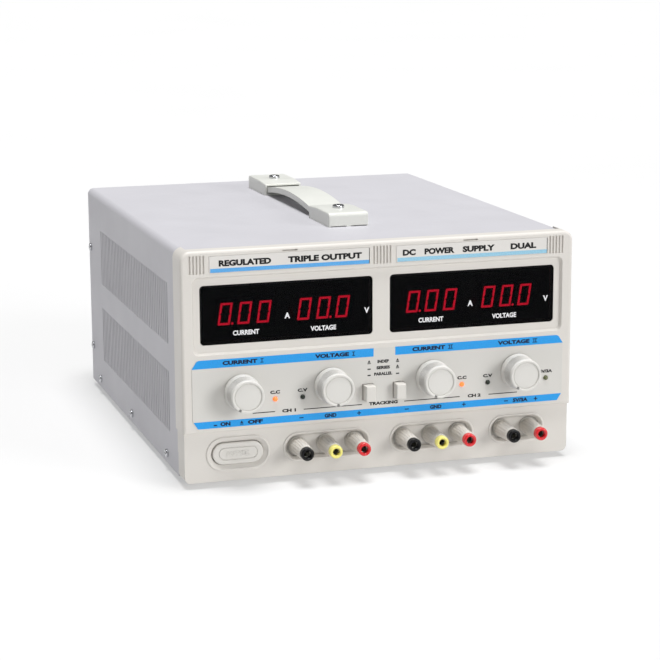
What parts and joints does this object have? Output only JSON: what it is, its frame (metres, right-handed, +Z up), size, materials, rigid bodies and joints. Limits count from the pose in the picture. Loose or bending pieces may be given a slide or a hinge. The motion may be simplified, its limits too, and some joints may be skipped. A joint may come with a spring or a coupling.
{
  "type": "bench power supply",
  "caption": "Bench power supply with metered front panel, rotary controls, push buttons, screw-down binding posts, carry strap, vented case and rear heat sinks.",
  "frame": {"origin": "middle of the overall footprint, level with the bottom of the feet", "axes": "+X to the right seen from the front, +Y towards the back, +Z up; the knobs and posts face -Y"},
  "size_m": [0.2654, 0.365, 0.1647],
  "materials": {
    "bezel_plastic": "fine satin texture",
    "cover_paint": "light grey powder coat",
    "zinc_steel": "zinc-plated sheet",
    "panel_paint": "light grey powder coat",
    "window": "dark tinted acrylic",
    "strip": "printed strip",
    "overlay": "printed film",
    "lamp_orange": "lit amber lens",
    "lamp_green": "unlit green lens",
    "display_black": "moulded display block",
    "board": "solder mask over glass laminate",
    "pot_metal": "stamped can",
    "switch_black": "moulded switch body",
    "button_plastic": "satin moulded",
    "knob_plastic": "satin moulded with knurled side",
    "shaft_metal": "turned",
    "stem_metal": "nickel-plated",
    "post_insulator": "moulded collar",
    "nut_grey": "ribbed moulded nut",
    "tip_black": "moulded",
    "tip_yellow": "moulded",
    "tip_red": "moulded",
    "screw_metal": "nickel-plated",
    "rubber": "moulded",
    "handle_plastic": "satin moulded",
    "strap_plastic": "satin soft vinyl",
    "core_steel": "varnished laminations",
    "winding": "taped copper winding",
    "can": "sleeved can",
    "sink": "black anodised",
    "fan_black": "moulded",
    "inlet_black": "moulded",
    "pin_metal": "nickel-plated"
  },
  "bodies": {
    "root": {"front_bezel": "bezel_plastic", "display_window_left": "window", "display_window_right": "window", "name_strips": "strip", "control_overlay": "overlay", "current_lamps": "lamp_orange", "voltage_lamps": "lamp_green", "digit_modules": "display_black", "circuit_boards": "board", "potentiometers": "pot_metal", "tracking_switches": "switch_black", "power_switch": "switch_black", "post_stems": "stem_metal", "post_bases": "post_insulator", "sub_panel": "zinc_steel", "top_cover": "cover_paint", "base_tray": "zinc_steel", "rear_panel": "panel_paint", "case_screws": "screw_metal", "rubber_feet": "rubber", "handle_and_foot_screws": "screw_metal", "handle_caps": "handle_plastic", "handle_strap": "strap_plastic", "transformer_core": "core_steel", "transformer_winding": "winding", "filter_capacitors": "can", "heat_sinks": "sink", "fan_frame": "fan_black", "inlet_socket": "inlet_black", "inlet_pins": "pin_metal", "fuse_holder": "inlet_black"},
    "power_button": {"power_button": "button_plastic"},
    "fan_rotor": {"fan_rotor": "fan_black"},
    "fuse_cap": {"fuse_cap": "inlet_black"},
    "knob_current_left": {"knob_current_left": "knob_plastic", "shaft_current_left": "shaft_metal"},
    "knob_voltage_left": {"knob_voltage_left": "knob_plastic", "shaft_voltage_left": "shaft_metal"},
    "knob_current_right": {"knob_current_right": "knob_plastic", "shaft_current_right": "shaft_metal"},
    "knob_voltage_right": {"knob_voltage_right": "knob_plastic", "shaft_voltage_right": "shaft_metal"},
    "tracking_button_left": {"tracking_button_left": "button_plastic"},
    "tracking_button_right": {"tracking_button_right": "button_plastic"},
    "post_tip_left_minus": {"post_tip_left_minus": "tip_black"},
    "post_nut_left_minus": {"post_nut_left_minus": "nut_grey"},
    "post_tip_left_ground": {"post_tip_left_ground": "tip_yellow"},
    "post_nut_left_ground": {"post_nut_left_ground": "nut_grey"},
    "post_tip_left_plus": {"post_tip_left_plus": "tip_red"},
    "post_nut_left_plus": {"post_nut_left_plus": "nut_grey"},
    "post_tip_right_minus": {"post_tip_right_minus": "tip_black"},
    "post_nut_right_minus": {"post_nut_right_minus": "nut_grey"},
    "post_tip_right_ground": {"post_tip_right_ground": "tip_yellow"},
    "post_nut_right_ground": {"post_nut_right_ground": "nut_grey"},
    "post_tip_right_plus": {"post_tip_right_plus": "tip_red"},
    "post_nut_right_plus": {"post_nut_right_plus": "nut_grey"},
    "post_tip_fixed_minus": {"post_tip_fixed_minus": "tip_black"},
    "post_nut_fixed_minus": {"post_nut_fixed_minus": "nut_grey"},
    "post_tip_fixed_plus": {"post_tip_fixed_plus": "tip_red"},
    "post_nut_fixed_plus": {"post_nut_fixed_plus": "nut_grey"}
  },
  "joints": [
    {"name": "turn_current_left", "type": "hinge", "parent": "root", "child": "knob_current_left", "pos_m": [-0.094, -0.1715, 0.0623], "axis": [0, 1, 0], "range_deg": [0, 300]},
    {"name": "turn_voltage_left", "type": "hinge", "parent": "root", "child": "knob_voltage_left", "pos_m": [-0.0345, -0.1715, 0.0623], "axis": [0, 1, 0], "range_deg": [0, 300]},
    {"name": "turn_current_right", "type": "hinge", "parent": "root", "child": "knob_current_right", "pos_m": [0.0345, -0.1715, 0.0623], "axis": [0, 1, 0], "range_deg": [0, 300]},
    {"name": "turn_voltage_right", "type": "hinge", "parent": "root", "child": "knob_voltage_right", "pos_m": [0.094, -0.1715, 0.0623], "axis": [0, 1, 0], "range_deg": [0, 300]},
    {"name": "press_tracking_left", "type": "slide", "parent": "root", "child": "tracking_button_left", "axis": [0, 1, 0], "range_m": [0, 0.003], "stiffness_N_per_m": 250, "springref_m": -0.002},
    {"name": "press_tracking_right", "type": "slide", "parent": "root", "child": "tracking_button_right", "axis": [0, 1, 0], "range_m": [0, 0.003], "stiffness_N_per_m": 250, "springref_m": -0.002},
    {"name": "release_power_button", "type": "slide", "parent": "root", "child": "power_button", "axis": [0, -1, 0], "range_m": [0, 0.003]},
    {"name": "spin_fan", "type": "hinge", "parent": "root", "child": "fan_rotor", "pos_m": [0, 0.1345, 0.094], "axis": [0, 1, 0], "continuous": true},
    {"name": "turn_fuse_cap", "type": "hinge", "parent": "root", "child": "fuse_cap", "pos_m": [0.055, 0.1505, 0.026], "axis": [0, 1, 0], "range_deg": [0, 45]},
    {"name": "back_off_left_minus", "type": "slide", "parent": "root", "child": "post_tip_left_minus", "axis": [0, -1, 0], "range_m": [0, 0.004]},
    {"name": "unscrew_left_minus", "type": "hinge", "parent": "post_tip_left_minus", "child": "post_nut_left_minus", "pos_m": [-0.05605, -0.1685, 0.0226], "axis": [0, -1, 0], "range_deg": [0, 1440]},
    {"name": "back_off_left_ground", "type": "slide", "parent": "root", "child": "post_tip_left_ground", "axis": [0, -1, 0], "range_m": [0, 0.004]},
    {"name": "unscrew_left_ground", "type": "hinge", "parent": "post_tip_left_ground", "child": "post_nut_left_ground", "pos_m": [-0.037, -0.1685, 0.0226], "axis": [0, -1, 0], "range_deg": [0, 1440]},
    {"name": "back_off_left_plus", "type": "slide", "parent": "root", "child": "post_tip_left_plus", "axis": [0, -1, 0], "range_m": [0, 0.004]},
    {"name": "unscrew_left_plus", "type": "hinge", "parent": "post_tip_left_plus", "child": "post_nut_left_plus", "pos_m": [-0.01795, -0.1685, 0.0226], "axis": [0, -1, 0], "range_deg": [0, 1440]},
    {"name": "back_off_right_minus", "type": "slide", "parent": "root", "child": "post_tip_right_minus", "axis": [0, -1, 0], "range_m": [0, 0.004]},
    {"name": "unscrew_right_minus", "type": "hinge", "parent": "post_tip_right_minus", "child": "post_nut_right_minus", "pos_m": [0.01615, -0.1685, 0.0226], "axis": [0, -1, 0], "range_deg": [0, 1440]},
    {"name": "back_off_right_ground", "type": "slide", "parent": "root", "child": "post_tip_right_ground", "axis": [0, -1, 0], "range_m": [0, 0.004]},
    {"name": "unscrew_right_ground", "type": "hinge", "parent": "post_tip_right_ground", "child": "post_nut_right_ground", "pos_m": [0.0352, -0.1685, 0.0226], "axis": [0, -1, 0], "range_deg": [0, 1440]},
    {"name": "back_off_right_plus", "type": "slide", "parent": "root", "child": "post_tip_right_plus", "axis": [0, -1, 0], "range_m": [0, 0.004]},
    {"name": "unscrew_right_plus", "type": "hinge", "parent": "post_tip_right_plus", "child": "post_nut_right_plus", "pos_m": [0.05425, -0.1685, 0.0226], "axis": [0, -1, 0], "range_deg": [0, 1440]},
    {"name": "back_off_fixed_minus", "type": "slide", "parent": "root", "child": "post_tip_fixed_minus", "axis": [0, -1, 0], "range_m": [0, 0.004]},
    {"name": "unscrew_fixed_minus", "type": "hinge", "parent": "post_tip_fixed_minus", "child": "post_nut_fixed_minus", "pos_m": [0.08547, -0.1685, 0.0226], "axis": [0, -1, 0], "range_deg": [0, 1440]},
    {"name": "back_off_fixed_plus", "type": "slide", "parent": "root", "child": "post_tip_fixed_plus", "axis": [0, -1, 0], "range_m": [0, 0.004]},
    {"name": "unscrew_fixed_plus", "type": "hinge", "parent": "post_tip_fixed_plus", "child": "post_nut_fixed_plus", "pos_m": [0.10453, -0.1685, 0.0226], "axis": [0, -1, 0], "range_deg": [0, 1440]}
  ],
  "couplings": [
    {"joint": "unscrew_left_minus", "follows": "back_off_left_minus", "rad_per_m": 6283.2},
    {"joint": "unscrew_left_ground", "follows": "back_off_left_ground", "rad_per_m": 6283.2},
    {"joint": "unscrew_left_plus", "follows": "back_off_left_plus", "rad_per_m": 6283.2},
    {"joint": "unscrew_right_minus", "follows": "back_off_right_minus", "rad_per_m": 6283.2},
    {"joint": "unscrew_right_ground", "follows": "back_off_right_ground", "rad_per_m": 6283.2},
    {"joint": "unscrew_right_plus", "follows": "back_off_right_plus", "rad_per_m": 6283.2},
    {"joint": "unscrew_fixed_minus", "follows": "back_off_fixed_minus", "rad_per_m": 6283.2},
    {"joint": "unscrew_fixed_plus", "follows": "back_off_fixed_plus", "rad_per_m": 6283.2}
  ]
}
